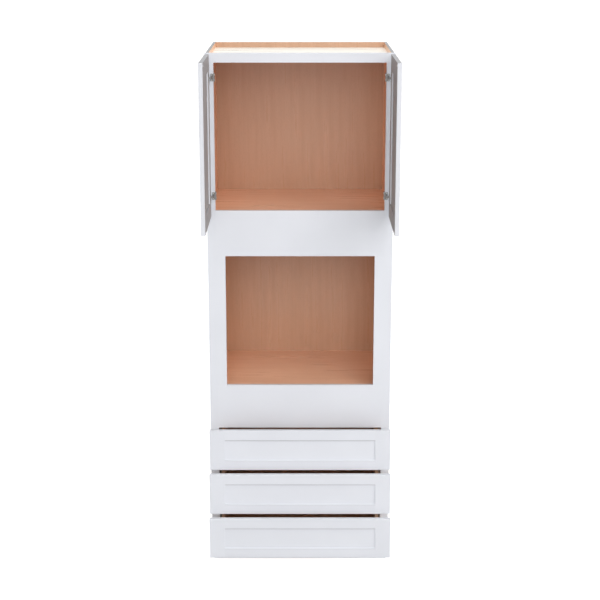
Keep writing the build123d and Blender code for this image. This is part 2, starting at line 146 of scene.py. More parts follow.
class PaintSettings(bpy.types.PropertyGroup):
    """The sprayed white paint of the face frame, doors and drawer fronts, with painted shade on
    the doors and under the drawer panels' top rails.
    """

    colour: colour_property("Colour", "Colour of the paint", (0.80, 0.815, 0.86))
    shade: colour_property("Shade", "Colour that it drifts towards", (0.765, 0.78, 0.825))
    # Painted shade: the next three colours are greyer than the paint, for the little light that
    # falls on the doors' inner faces, top edges and forward edges
    back: colour_property("Back", "Colour of the doors' inner faces", (0.435, 0.422, 0.427))
    door_top_painted_shade: colour_property("Door top", "Colour of the doors' top edges", (0.47, 0.47, 0.485))
    door_edge_painted_shade: colour_property("Door edge", "Colour of the edges that meet", (0.74, 0.75, 0.79))
    # Painted shadow: the next two settings give each drawer panel a darker colour just under its
    # top rail, for the rail's shadow, and how far down the panel it reaches
    painted_rail_shadow: colour_property("Tucked", "Thin paint under a front's top rail", (0.56, 0.565, 0.59))
    painted_rail_shadow_depth: length_property("Tuck", "How far the thin paint reaches down a panel", 4.2 * MM)
    roughness: share_property("Roughness", "How dull the paint is", 0.6)
    gloss: share_property("Gloss", "Strength of the paint's reflections", 0.05)
    peel: length_property("Orange peel", "Height of the ripple left by spraying", 0.02 * MM)


class MapleSettings(bpy.types.PropertyGroup):
    """The maple print inside the carcase and the bare maple of the drawer boxes."""

    light: colour_property("Light", "Colour between the streaks", (0.885, 0.533, 0.348))
    dark: colour_property("Dark", "Colour of the streaks", (0.785, 0.456, 0.285))
    # Painted light: the sides' two colours are lighter than the print's, for light bounced round
    # inside the box
    side_light_painted_bounce: colour_property("Side light", "Light colour of the sides", (0.97, 0.60, 0.40))
    side_dark_painted_bounce: colour_property("Side dark", "Dark colour of the sides", (0.90, 0.53, 0.34))
    # Painted shade: the back and the hanging rails take the print darkened, for the shade at the
    # back of the box
    back_painted_shade: colour_property("Back tint", "Tint of the back", (0.652, 0.642, 0.628))
    rail_painted_shade: colour_property("Rail tint", "Tint of the hanging rails", (0.70, 0.71, 0.72))
    # The top panel's bare face: partly the board's own colour, partly painted light, paler for the
    # strong light on top
    raw_with_painted_light: colour_property("Raw top", "Colour of the top panel's bare face", (0.96, 0.945, 0.86))
    box_light: colour_property("Box light", "Light colour of the boxes", (0.68, 0.43, 0.27))
    box_dark: colour_property("Box dark", "Dark colour of the boxes", (0.54, 0.31, 0.185))
    end_grain: colour_property("End grain", "Colour of the dovetails' ends", (0.40, 0.235, 0.135))
    ply: length_property("Ply", "Thickness of two layers of the sides", 2.8 * MM)
    ply_light: colour_property("Light layer", "Colour of every other layer", (0.60, 0.44, 0.29))
    ply_dark: colour_property("Dark layer", "Colour of the layers between", (0.42, 0.27, 0.16))
    # The sides' top edges are partly their own grey and partly painted shade
    top_edge_with_painted_shade: colour_property("Top edge", "Colour of the sides' top edges", (0.16, 0.16, 0.165))
    roughness: share_property("Roughness", "How dull the print is", 0.3)


class MetalSettings(bpy.types.PropertyGroup):
    """The plated steel of the slides, hinges and screws."""

    zinc: colour_property("Zinc", "Colour of the slides", (0.50, 0.51, 0.53))
    # Painted shade: the hinges' colour is darker than nickel, for the shade the hinges sit in
    nickel_painted_shade: colour_property("Nickel", "Colour of the hinges", (0.25, 0.245, 0.24))
    screw: colour_property("Screw", "Colour of the screws", (0.66, 0.65, 0.62))
    roughness: share_property("Roughness", "How dull the plating is", 0.34)
    dull: share_property("Hinge roughness", "How dull the hinges are", 0.55)


class HardwareSettings(bpy.types.PropertyGroup):
    """Sizes of the screws and bumpers, and the bumpers' colours."""

    screw_radius: length_property("Screw head", "Radius of a large screw's head", 4.5 * MM)
    screw_height: length_property("Screw height", "Height of a large screw's head", 1.8 * MM)
    clip_radius: length_property("Clip screw", "Radius of a clip screw's head", 3.6 * MM)
    flat_radius: length_property("Flat head", "Radius of a flat screw's head", 3.4 * MM)
    flat_height: length_property("Flat height", "Height of a flat screw's head", 0.7 * MM)
    adjuster_radius: length_property("Adjuster", "Radius of an adjuster's head", 2.3 * MM)
    bumper_radius: length_property("Bumper", "Radius of a bumper", 4.5 * MM)
    bumper_height: length_property("Bumper height", "Height of a bumper", 1.9 * MM)
    bumper_light: colour_property("Bumper light", "Light colour of a bumper", (0.83, 0.83, 0.82))
    bumper_dark: colour_property("Bumper dark", "Dark colour of a bumper", (0.74, 0.74, 0.73))
    rings: IntProperty(name="Rings", description="Rings of faces on a head", default=9, min=4)
    spokes: IntProperty(name="Spokes", description="Faces round a head", default=32, min=8)


class StudioSettings(bpy.types.PropertyGroup):
    """Camera, lamps and floor."""

    focal: FloatProperty(
        name="Focal length",
        description="Focal length that shows the cabinet at the photograph's scale",
        default=85.691,
        min=10,
        unit="CAMERA",
    )
    camera_y: length_property("Camera distance", "How far the camera is from the wall", 6.9312)
    camera_z: length_property("Camera height", "Height of the camera over the floor", 2.9935)
    camera_pitch: FloatProperty(
        name="Camera tilt",
        description="How far the camera looks down",
        default=radians(14.828),
        subtype="ANGLE",
    )
    right_power: strength_property("Right", "Watts of the lamp to the right", 750)
    low_right_power: strength_property("Low right", "Watts of the lamp low on the right", 390)
    front_power: strength_property("Front", "Watts of the lamp in front", 745)
    wide_power: strength_property("Wide", "Watts of the wide lamp low in front", 900)
    left_power: strength_property("Left", "Watts of the lamp to the left", 310)
    high_power: strength_property("High", "Watts of the lamp high in front", 460)
    high_right_power: strength_property("High right", "Watts of the lamp high on the right", 670)
    high_left_power: strength_property("High left", "Watts of the lamp high on the left", 320)
    top_power: strength_property("Top", "Watts of the lamp over the top", 11)
    from_above: strength_property("From above", "What the surroundings add overhead", 0.05)
    from_behind: strength_property("From behind", "What the surroundings add behind", 1.2)
    floor_glow: strength_property("Floor glow", "What the floor adds towards the camera", 0.93)
    floor: colour_property("Floor", "Colour of the floor", (0.62, 0.62, 0.62))


SETTINGS = {
    "oven_cabinet_paint": PaintSettings,
    "oven_cabinet_maple": MapleSettings,
    "oven_cabinet_metal": MetalSettings,
    "oven_cabinet_hardware": HardwareSettings,
    "oven_cabinet_studio": StudioSettings,
}


# Building blocks for materials


def add_node(tree, kind, inputs=None, **values):
    """A node in the tree, with its values set and its sockets set or joined."""
    node = tree.nodes.new(kind)
    for name, value in values.items():
        setattr(node, name, value)
    for key, value in (inputs or {}).items():
        if isinstance(value, bpy.types.NodeSocket):
            tree.links.new(value, node.inputs[key])
        else:
            node.inputs[key].default_value = value
    return node


def maths(tree, operation, *operands):
    """The result of one sum on one, two or three values."""
    node = add_node(tree, "ShaderNodeMath", dict(enumerate(operands)), operation=operation)
    return node.outputs[0]


def blend_colours(tree, factor, first, second):
    """First where factor is 0 and second where it is 1."""
    node = tree.nodes.new("ShaderNodeMix")
    node.data_type = "RGBA"
    sockets = (node.inputs[0], node.inputs[6], node.inputs[7])
    for socket, value in zip(sockets, (factor, first, second)):
        if isinstance(value, bpy.types.NodeSocket):
            tree.links.new(value, socket)
        else:
            socket.default_value = value
    return node.outputs[2]


def solid_colour(rgb):
    """The colour, opaque."""
    return (*rgb, 1.0)


def toned(rgb, share):
    """The colour times the share."""
    return [value * share for value in rgb]


def blank_material(name):
    """A material with only a Principled shader and its output, and the tree they are in."""
    material = bpy.data.materials.new(name)
    material.use_nodes = True
    tree = material.node_tree
    tree.nodes.clear()
    shader = add_node(tree, "ShaderNodeBsdfPrincipled")
    add_node(tree, "ShaderNodeOutputMaterial", {"Surface": shader.outputs["BSDF"]})
    return material, tree, shader


def blank_group(name, outputs):
    """A node group with a Vector input and the named outputs; its vector and its output node."""
    group = bpy.data.node_groups.new(name, "ShaderNodeTree")
    group.interface.new_socket("Vector", in_out="INPUT", socket_type="NodeSocketVector")
    for title in outputs:
        group.interface.new_socket(title, in_out="OUTPUT", socket_type="NodeSocketFloat")
    vector = group.nodes.new("NodeGroupInput").outputs["Vector"]
    return group, vector, group.nodes.new("NodeGroupOutput")


def give_out(group, leave, values):
    """The group, with each value joined to the output of its name."""
    for title, value in values.items():
        group.links.new(value, leave.inputs[title])
    return group


def stretched_noise(group, vector, scale, stretch=1.0, detail=1.0, roughness=0.55):
    """Noise whose cells are 1/scale metres across and longer along Z by the stretch."""
    squeezed = add_node(
        group, "ShaderNodeMapping", {"Vector": vector, "Scale": (1.0, 1.0, 1.0 / stretch)}
    )
    noise = add_node(
        group,
        "ShaderNodeTexNoise",
        {"Vector": squeezed.outputs[0], "Scale": scale, "Detail": detail, "Roughness": roughness},
    )
    return noise.outputs["Fac"]


def steepen(tree, value, low, high):
    """The value stretched so that low becomes 0 and high becomes 1."""
    node = add_node(
        tree,
        "ShaderNodeMapRange",
        {"Value": value, "From Min": low, "From Max": high},
        interpolation_type="SMOOTHSTEP",
    )
    return node.outputs[0]


def maple_figure():
    """Upright maple figure: broad and fine streaks, slow rings round a leaning axis, and pores.

    figure = broad + fine + rings, each noise or sin(distance from the axis), weighted to add to 1.
    """
    broad_share, fine_share, rings_share = 0.45, 0.3, 0.25
    group, vector, leave = blank_group("Maple figure", ("Figure", "Pores", "Drift"))
    broad = stretched_noise(group, vector, scale=34.0, stretch=22.0, detail=3.0)
    broad = steepen(group, broad, 0.3, 0.7)
    fine = stretched_noise(group, vector, scale=210.0, stretch=60.0, detail=4.0, roughness=0.65)
    fine = steepen(group, fine, 0.3, 0.7)
    lean = {"Location": (0.31, 0.17, 0.0), "Rotation": (radians(4), radians(3), 0)}
    leaning = add_node(group, "ShaderNodeMapping", {"Vector": vector, **lean}).outputs[0]
    rings = add_node(
        group,
        "ShaderNodeTexWave",
        {
            "Vector": leaning,
            "Scale": 7.0,
            "Distortion": 3.4,
            "Detail": 2.0,
            "Detail Scale": 0.8,
        },
        wave_type="RINGS",
        rings_direction="Z",
    )
    drift = stretched_noise(group, vector, scale=2.2, stretch=2.0)
    pores = stretched_noise(group, vector, scale=900.0, stretch=9.0, detail=2.0)
    pores = steepen(group, pores, 0.54, 0.76)
    figure = maths(group, "MULTIPLY", broad, broad_share)
    figure = maths(group, "MULTIPLY_ADD", fine, fine_share, figure)
    figure = maths(group, "MULTIPLY_ADD", rings.outputs["Fac"], rings_share, figure)
    return give_out(group, leave, {"Figure": figure, "Pores": pores, "Drift": drift})


def sprayed_film():
    """Sprayed paint: a slow drift of its shade, the ripple left by the gun, and duller patches."""
    group, vector, leave = blank_group("Sprayed film", ("Drift", "Ripple", "Dull"))
    drift = steepen(group, stretched_noise(group, vector, scale=3.1, detail=2.0), 0.3, 0.7)
    ripple = stretched_noise(group, vector, scale=420.0)
    dull = stretched_noise(group, vector, scale=26.0, detail=4.0)
    return give_out(group, leave, {"Drift": drift, "Ripple": ripple, "Dull": dull})


def plating():
    """Plated sheet steel: fine scratches along Z and cloudy spots."""
    group, vector, leave = blank_group("Plating", ("Scratches", "Clouds"))
    scratches = stretched_noise(group, vector, scale=1600.0, stretch=90.0, detail=3.0)
    clouds = steepen(group, stretched_noise(group, vector, scale=130.0, detail=4.0), 0.35, 0.7)
    return give_out(group, leave, {"Scratches": scratches, "Clouds": clouds})


SHARED_GROUPS = {"Maple figure": maple_figure, "Sprayed film": sprayed_film, "Plating": plating}


def use_group(tree, title, vector):
    """The outputs of a shared group fed with the vector. The group is built on its first use."""
    node = tree.nodes.new("ShaderNodeGroup")
    node.node_tree = bpy.data.node_groups.get(title) or SHARED_GROUPS[title]()
    tree.links.new(vector, node.inputs["Vector"])
    return node.outputs


def object_vector(tree, along=ALONG_Z):
    """The coordinates node, and its Object output turned so that the axis runs along Z."""
    coordinates = add_node(tree, "ShaderNodeTexCoord")
    turn = {"Vector": coordinates.outputs["Object"], "Rotation": TURN_TO_Z[along]}
    return coordinates, add_node(tree, "ShaderNodeMapping", turn).outputs[0]


def spread(tree, value, middle, width):
    """A value from 0 to 1 as a value round the middle."""
    return maths(tree, "MULTIPLY_ADD", value, width, middle - width / 2)


def bump(tree, height, distance, shader, onto=None):
    """Raise the surface by the height times the distance, over another bump where one is given."""
    inputs = {"Height": height, "Distance": distance, "Strength": 1.0}
    if onto is not None:
        inputs["Normal"] = onto
    node = add_node(tree, "ShaderNodeBump", inputs)
    tree.links.new(node.outputs[0], shader.inputs["Normal"])
    return node.outputs[0]


class Finish(NamedTuple):
    """A material, and what a further layer of colour joins on to."""

    material: bpy.types.Material
    tree: bpy.types.NodeTree
    shader: bpy.types.Node
    coordinates: bpy.types.Node
    colour: bpy.types.NodeSocket


def along_axis(finish, kind, axis):
    """How far the Object or Normal coordinates reach along one axis."""
    vector = finish.coordinates.outputs[kind]
    return add_node(finish.tree, "ShaderNodeSeparateXYZ", {"Vector": vector}).outputs[axis]


def beyond(finish, value, limit):
    """1 where the value is over the limit."""
    return maths(finish.tree, "GREATER_THAN", value, limit)


def short_of(finish, value, limit):
    """1 where the value is under the limit."""
    return maths(finish.tree, "LESS_THAN", value, limit)


def lay_over(finish, mask, over):
    """The finish with another colour, an rgb or a socket, laid over it where the mask is 1."""
    if not isinstance(over, bpy.types.NodeSocket):
        over = solid_colour(over)
    colour = blend_colours(finish.tree, mask, finish.colour, over)
    finish.tree.links.new(colour, finish.shader.inputs["Base Color"])
    return finish._replace(colour=colour)


def paint_material(name, along):
    """Sprayed white paint over wood whose grain runs along the given axis and just shows."""
    paint = bpy.context.scene.oven_cabinet_paint
    dull_spread, pore_depth = 0.12, 0.01 * MM
    material, tree, shader = blank_material(name)
    coordinates, vector = object_vector(tree, along)
    film = use_group(tree, "Sprayed film", vector)
    pores = use_group(tree, "Maple figure", vector)["Pores"]
    drift = spread(tree, film["Drift"], middle=0.4, width=0.6)
    colour = blend_colours(tree, drift, solid_colour(paint.colour), solid_colour(paint.shade))
    dullness = spread(tree, film["Dull"], paint.roughness, dull_spread)
    tree.links.new(colour, shader.inputs["Base Color"])
    tree.links.new(dullness, shader.inputs["Roughness"])
    shader.inputs["Specular IOR Level"].default_value = paint.gloss
    ripple = bump(tree, film["Ripple"], paint.peel, shader)
    bump(tree, pores, -pore_depth, shader, ripple)
    return Finish(material, tree, shader, coordinates, colour)


def maple_material(name, along, light, dark):
    """Maple with its figure along the given axis."""
    dull = bpy.context.scene.oven_cabinet_maple.roughness
    dull_spread, pore_share, pore_tone, pore_depth = 0.1, 0.6, 0.8, 0.015 * MM
    drift_share, drift_tone = 0.25, 1.08
    material, tree, shader = blank_material(name)
    coordinates, vector = object_vector(tree, along)
    figure = use_group(tree, "Maple figure", vector)
    colour = blend_colours(tree, figure["Figure"], solid_colour(light), solid_colour(dark))
    pored = maths(tree, "MULTIPLY", figure["Pores"], pore_share)
    colour = blend_colours(tree, pored, colour, solid_colour(toned(dark, pore_tone)))
    drifted = maths(tree, "MULTIPLY", figure["Drift"], drift_share)
    colour = blend_colours(tree, drifted, colour, solid_colour(toned(light, drift_tone)))
    dullness = spread(tree, figure["Figure"], dull, dull_spread)
    tree.links.new(colour, shader.inputs["Base Color"])
    tree.links.new(dullness, shader.inputs["Roughness"])
    bump(tree, figure["Pores"], -pore_depth, shader)
    return Finish(material, tree, shader, coordinates, colour)


def metal_material(name, colour, along, roughness):
    """Plated steel with its scratches along the given axis."""
    cloud_tone, dull_spread, scratch_depth = 0.8, 0.22, 0.01 * MM
    material, tree, shader = blank_material(name)
    _, vector = object_vector(tree, along)
    plate = use_group(tree, "Plating", vector)
    cloudy = solid_colour(toned(colour, cloud_tone))
    clouded = blend_colours(tree, plate["Clouds"], solid_colour(colour), cloudy)
    dullness = spread(tree, plate["Scratches"], roughness, dull_spread)
    tree.links.new(clouded, shader.inputs["Base Color"])
    tree.links.new(dullness, shader.inputs["Roughness"])
    shader.inputs["Metallic"].default_value = 1.0
    bump(tree, plate["Scratches"], scratch_depth, shader)
    return material


def bumper_material():
    """Soft white plastic."""
    sizes = bpy.context.scene.oven_cabinet_hardware
    roughness, softness = 0.3, 0.2
    light, dark = solid_colour(sizes.bumper_light), solid_colour(sizes.bumper_dark)
    material, tree, shader = blank_material("Bumper")
    _, vector = object_vector(tree)
    film = use_group(tree, "Sprayed film", vector)
    soft = blend_colours(tree, film["Dull"], light, dark)
    tree.links.new(soft, shader.inputs["Base Color"])
    shader.inputs["Roughness"].default_value = roughness
    shader.inputs["Subsurface Weight"].default_value = softness
    return material


def clothe(material, *names):
    """Give each named CAD node the material in every slot."""
    for name in names:
        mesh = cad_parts[name].data
        mesh.materials.clear()
        mesh.materials.append(material)


# Building blocks for meshes


def head_profile(radius, height, rings):
    """Radius and height along a low domed head, from its crown down to its seat.

    r = R sin(a), h = H (1 - fall (1 - cos a)) for a from 0 to 90 degrees, then straight down.
    """
    fall = 0.55
    angle = np.linspace(0, pi / 2, rings + 1)[1:]
    dome_r = radius * np.sin(angle)
    dome_h = height * (1 - fall * (1 - np.cos(angle)))
    return np.append(dome_r, radius), np.append(dome_h, 0.0)


def closed_round(r, h, spokes, top, lower=None):
    """Vertices and faces of a closed round solid from the profile r(u), h(u) turned through 360.

    x = r(u) cos v, y = r(u) sin v, z = h(u) - lower(x, y). The crown and the seat each end in
    a fan round one point.
    """
    turn = np.linspace(0, 2 * pi, spokes, endpoint=False)
    x = np.outer(r, np.cos(turn))
    y = np.outer(r, np.sin(turn))
    z = np.repeat(h[:, None], spokes, axis=1)
    if lower is not None:
        z[:-2] -= lower(x[:-2], y[:-2])
        top -= float(lower(np.zeros(1), np.zeros(1))[0])
    ring_points = np.stack([x, y, z], axis=-1).reshape(-1, 3)
    points = np.vstack([ring_points, [[0, 0, top], [0, 0, h[-1]]]])
    index = np.arange(len(r) * spokes).reshape(len(r), spokes)
    ahead = np.roll(index, -1, axis=1)
    quads = np.stack([index[:-1], index[1:], ahead[1:], ahead[:-1]], axis=-1).reshape(-1, 4)
    crown, seat = len(points) - 2, len(points) - 1
    crown_fan = np.stack([np.full(spokes, crown), index[0], ahead[0]], axis=-1)
    seat_fan = np.stack([np.full(spokes, seat), ahead[-1], index[-1]], axis=-1)
    faces = quads.tolist() + crown_fan.tolist() + seat_fan.tolist()
    return points, faces


def cross_slot(radius, depth):
    """Depth of a cross-shaped recess: the depth inside either bar, falling to 0 at its walls."""
    long_half, short_half, wall = 0.58 * radius, 0.13 * radius, 0.07 * radius

    def lower(x, y):
        def bar(a, b):
            inside_a = np.clip((long_half - np.abs(a)) / wall, 0, 1)
            inside_b = np.clip((short_half - np.abs(b)) / wall, 0, 1)
            return inside_a * inside_b

        return depth * np.maximum(bar(x, y), bar(y, x))

    return lower


def frames_towards(directions, turns):
    """One rotation matrix for each direction, taking +Z to it, turned about it by its angle."""
    nearly_upright = 0.9
    z = directions / np.linalg.norm(directions, axis=1, keepdims=True)
    leaning = np.abs(z[:, 2:3]) < nearly_upright
    aside = np.where(leaning, [[0.0, 0.0, 1.0]], [[1.0, 0.0, 0.0]])
    x = np.cross(aside, z)
    x /= np.linalg.norm(x, axis=1, keepdims=True)
    y = np.cross(z, x)
    c, s = np.cos(turns)[:, None], np.sin(turns)[:, None]
    return np.stack([c * x + s * y, c * y - s * x, z], axis=-1)


def repeat_at(points, faces, places, directions, turns):
    """Copies of a shape at each place, facing its direction, or one for all: p' = M p + place."""
    directions = np.broadcast_to(np.asarray(directions, float), (len(places), 3))
    matrices = frames_towards(directions, turns)
    placed = np.einsum("kij,nj->kni", matrices, points) + np.asarray(places, float)[:, None]
    count = len(points)
    copied = [[i + k * count for i in face] for k in range(len(places)) for face in faces]
    return placed.reshape(-1, 3), copied


def mesh_piece(name, points, faces, material, body):
    """A smooth mesh object at the origin, with its material, riding on its body."""
    sharp_edge = radians(38)
    mesh = bpy.data.meshes.new(name)
    mesh.from_pydata(points.tolist(), [], faces)
    mesh.update()
    mesh.shade_smooth()
    mesh.set_sharp_from_angle(angle=sharp_edge)
    mesh.materials.append(material)
    piece = bpy.data.objects.new(name, mesh)
    bpy.context.scene.collection.objects.link(piece)
    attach(piece, body)


def screw_heads(name, places, directions, body, head):
    """Cross-headed screws in one mesh, each turned by its own angle. Head: radius and height."""
    sizes = bpy.context.scene.oven_cabinet_hardware
    first_turn, next_turn, slot_depth = 0.7, 1.9, 0.6
    radius, height = head
    r, h = head_profile(radius, height, sizes.rings)
    slotted = cross_slot(radius, slot_depth * height)
    points, faces = closed_round(r, h, sizes.spokes, height, slotted)
    turns = first_turn + next_turn * np.arange(len(places))
    points, faces = repeat_at(points, faces, places, directions, turns)
    mesh_piece(name, points, faces, bpy.data.materials["Screw"], body)


def bumper_domes(name, places, direction, body):
    """Soft white domes that a door or drawer front closes against."""
    sizes = bpy.context.scene.oven_cabinet_hardware
    r, h = head_profile(sizes.bumper_radius, sizes.bumper_height, sizes.rings)
    points, faces = closed_round(r, h, sizes.spokes, sizes.bumper_height)
    points, faces = repeat_at(points, faces, places, direction, np.zeros(len(places)))
    mesh_piece(name, points, faces, bpy.data.materials["Bumper"], body)


# The operators


class CABINET_OT_paint_fronts(bpy.types.Operator):
    """Paint the face frame, the doors and the drawer fronts white, with painted shade on the
    doors' inner faces and edges and under the drawer panels' top rails
    """

    bl_idname = "cabinet.paint_fronts"
    bl_label = "Paint Fronts"

    def execute(self, context):
        upright = paint_material("White paint, upright grain", ALONG_Z).material
        across = paint_material("White paint, cross grain", ALONG_X).material
        clothe(upright, "frame_stile_left", "frame_stile_right", "oven_strips")
        clothe(across, "top_rail", "middle_rail", "lower_rail", "drawer_rails", "bottom_rail")
        clothe(across, "toe_kick")
        for sign, side in SIDES:
            boards = [f"door_{side}_{part}" for part in ("hinge_stile", "meeting_stile", "panel")]
            title = f"Door paint, upright grain, {side}"
            clothe(self.door_material(title, ALONG_Z, -sign), *boards)
            title = f"Door paint, grain to the front, {side}"
            clothe(self.door_material(title, ALONG_Y, -sign), f"door_{side}_rails")
        for n in DRAWERS:
            clothe(upright, f"drawer_{n}_front_stiles")
            clothe(across, f"drawer_{n}_front_rails")
            clothe(self.panel_material(n), f"drawer_{n}_front_panel")
        return {"FINISHED"}

    @staticmethod
    def panel_material(n):
        """White paint on a drawer front's panel, with a painted shadow: a darker strip under its
        top rail.
        """
        paint = bpy.context.scene.oven_cabinet_paint
        finish = paint_material(f"White paint, panel {n}", ALONG_X)
        # Painted shadow: the strip just under the top rail is darker, where the rail's shadow
        # falls
        under_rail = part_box(f"drawer_{n}_front_panel")[1].z - PANEL_TONGUE - paint.painted_rail_shadow_depth
        mask = beyond(finish, along_axis(finish, "Object", "Z"), under_rail)
        return lay_over(finish, mask, paint.painted_rail_shadow).material

    @staticmethod
    def door_material(name, along, inward):
        """White paint with painted shade: greyer on the edges and on the faces that look inward in
        the open door.
        """
        paint = bpy.context.scene.oven_cabinet_paint
        finish = paint_material(name, along)
        # Painted shade on the top edges, the forward edges and the inward faces
        upward = beyond(finish, along_axis(finish, "Normal", "Z"), FACING)
        finish = lay_over(finish, upward, paint.door_top_painted_shade)
        forward = short_of(finish, along_axis(finish, "Normal", "Y"), -FACING)
        finish = lay_over(finish, forward, paint.door_edge_painted_shade)
        facing = maths(finish.tree, "MULTIPLY", along_axis(finish, "Normal", "X"), float(inward))
        return lay_over(finish, beyond(finish, facing, FACING), paint.back).material


class CABINET_OT_print_maple(bpy.types.Operator):
    """Give the carcase its maple print, with white outside faces and layered edges, lighter sides
    as painted light, and a darker back and rails as painted shade
    """

    bl_idname = "cabinet.print_maple"
    bl_label = "Print Maple"

    def execute(self, context):
        maple = context.scene.oven_cabinet_maple
        plain = (1.0, 1.0, 1.0)
        crosswise = ("compartment_floor", "oven_shelf", "bottom_panel", "oven_cross_bearers")
        for title, along, tint, names in (
            # Painted shade: the back and the rails take the print darkened, for the shade at the
            # back of the box
            ("Maple print, back", ALONG_Z, maple.back_painted_shade, ("back_panel", "base_blocks")),
            ("Maple print, rails", ALONG_X, maple.rail_painted_shade, ("hang_rails",)),
            ("Maple print, crosswise", ALONG_X, plain, crosswise),
            ("Maple, front to back", ALONG_Y, plain, ("slide_cleats", "oven_side_bearers")),
        ):
            tones = [[a * b for a, b in zip(tone, tint)] for tone in (maple.light, maple.dark)]
            clothe(maple_material(title, along, *tones).material, *names)
        # Painted light: the sides take colours lighter than the print, for light bounced inside
        # the box
        sides = maple_material("Maple print, sides", ALONG_Z, maple.side_light_painted_bounce, maple.side_dark_painted_bounce)
        clothe(self.layer_edges(sides), "side_panel_left", "side_panel_right")
        top = maple_material("Top panel", ALONG_X, maple.light, maple.dark)
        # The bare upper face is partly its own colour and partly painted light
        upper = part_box("top_panel")[1].z - ON_FACE
        mask = beyond(top, along_axis(top, "Object", "Z"), upper)
        clothe(lay_over(top, mask, maple.raw_with_painted_light).material, "top_panel")
        return {"FINISHED"}

    @staticmethod
    def layer_edges(finish):
        """White outside the sides and in the toe notch; rear edges in layers of ply; grey tops,
        partly the edge's colour and partly painted shade.
        """
        maple = bpy.context.scene.oven_cabinet_maple
        paint = bpy.context.scene.oven_cabinet_paint
        layer_blur, gloss_share = 0.4, 4
        tree, shader = finish.tree, finish.shader
        x = maths(tree, "ABSOLUTE", along_axis(finish, "Object", "X"))
        layers = maths(tree, "SINE", maths(tree, "MULTIPLY", x, 2 * pi / maple.ply))
        dark = steepen(tree, layers, -layer_blur, layer_blur)
        light_ply, dark_ply = solid_colour(maple.ply_light), solid_colour(maple.ply_dark)
        ply = blend_colours(tree, dark, light_ply, dark_ply)
        rear = beyond(finish, along_axis(finish, "Object", "Y"), -ON_FACE)
        top = beyond(finish, along_axis(finish, "Object", "Z"), TOP_Z - ON_FACE)
        notch = short_of(finish, along_axis(finish, "Normal", "Y"), -FACING)
        outside = beyond(finish, x, SIDE_FACE_X - ON_FACE)
        painted = maths(tree, "MAXIMUM", notch, outside)
        finish = lay_over(finish, rear, ply)
        # Grey top edges, partly their own colour and partly painted shade
        finish = lay_over(finish, top, maple.top_edge_with_painted_shade)
        finish = lay_over(finish, painted, paint.colour)
        bare = maths(tree, "SUBTRACT", 1.0, painted)
        pores = shader.inputs["Normal"].links[0].from_node
        tree.links.new(bare, pores.inputs["Strength"])
        printed = shader.inputs["Roughness"].links[0].from_socket
        printed = maths(tree, "MULTIPLY", printed, bare)
        roughness = maths(tree, "MULTIPLY_ADD", painted, paint.roughness, printed)
        tree.links.new(roughness, shader.inputs["Roughness"])
        shader.inputs["Specular IOR Level"].default_value = gloss_share * paint.gloss
        return finish.material


class CABINET_OT_finish_boxes(bpy.types.Operator):
    """Give the drawer boxes bare maple, with end grain on the dovetails"""

    bl_idname = "cabinet.finish_boxes"
    bl_label = "Finish Drawer Boxes"

    def execute(self, context):
        maple = context.scene.oven_cabinet_maple
        boards = (maple.box_light, maple.box_dark)
        for part, along, ends, tones in (
            ("box_sides", ALONG_Y, "Y", boards),
            ("box_ends", ALONG_X, "X", boards),
            ("box_bottom", ALONG_X, None, (maple.light, maple.dark)),
        ):
            finish = maple_material(f"Drawer maple, {part.replace('_', ' ')}", along, *tones)
            if ends:
                normal = maths(finish.tree, "ABSOLUTE", along_axis(finish, "Normal", ends))
                finish = lay_over(finish, beyond(finish, normal, END_FACING), maple.end_grain)
            clothe(finish.material, *[f"drawer_{n}_{part}" for n in DRAWERS])
        return {"FINISHED"}


class CABINET_OT_plate_metal(bpy.types.Operator):
    """Plate the slides and the hinges, and make the screws' and bumpers' materials"""

    bl_idname = "cabinet.plate_metal"
    bl_label = "Plate Metal"

    def execute(self, context):
        metal = context.scene.oven_cabinet_metal
        zinc = metal_material("Zinc plate", metal.zinc, ALONG_Y, metal.roughness)
        # Painted shade: the hinges' nickel is darkened for the shade they sit in
        nickel_painted_shade = metal_material("Dull nickel", metal.nickel_painted_shade, ALONG_Z, metal.dull)
        metal_material("Screw", metal.screw, ALONG_Z, metal.roughness)
        bumper_material()
        clothe(zinc, "slide_cabinet_members")
        for n in DRAWERS:
            clothe(zinc, f"slide_{n}", f"drawer_{n}_slide_members")
        clothe(nickel_painted_shade, "hinge_clips", "hinge_pins")
        for _, side in SIDES:
            clothe(nickel_painted_shade, f"hinge_links_{side}", f"door_{side}_hinge_cups")
        return {"FINISHED"}


